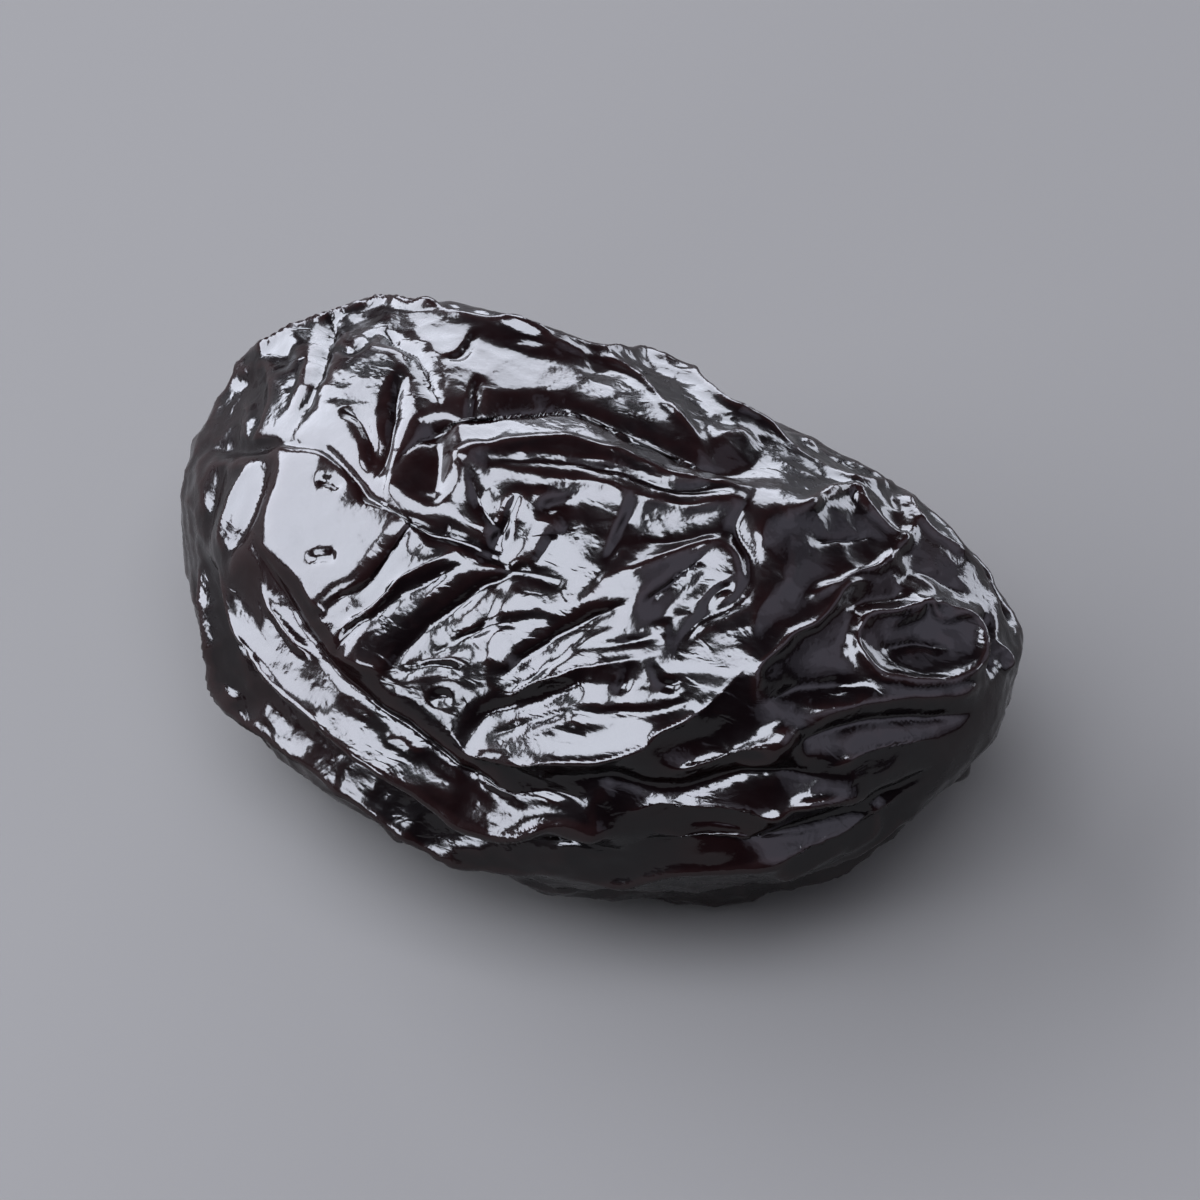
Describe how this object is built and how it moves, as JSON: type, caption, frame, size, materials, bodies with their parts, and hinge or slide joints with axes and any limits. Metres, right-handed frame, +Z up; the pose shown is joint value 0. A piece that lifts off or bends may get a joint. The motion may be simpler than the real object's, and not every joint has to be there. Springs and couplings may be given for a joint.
{
  "type": "prune",
  "caption": "Whole dried plum: a long rounded fruit with a ridged, glossy, shrunken skin and a narrower stem end, lying on its side.",
  "frame": {"origin": "on the surface that the fruit lies on, under the middle of its box", "axes": "+X along the fruit towards the stem end, +Z up from the surface that it lies on, +Y towards its hidden side"},
  "size_m": [0.04, 0.0272, 0.0215],
  "materials": {
    "skin": "wet-looking glossy dried skin, near black with a red-brown cast"
  },
  "bodies": {
    "root": {"prune": "skin"}
  },
  "joints": []
}
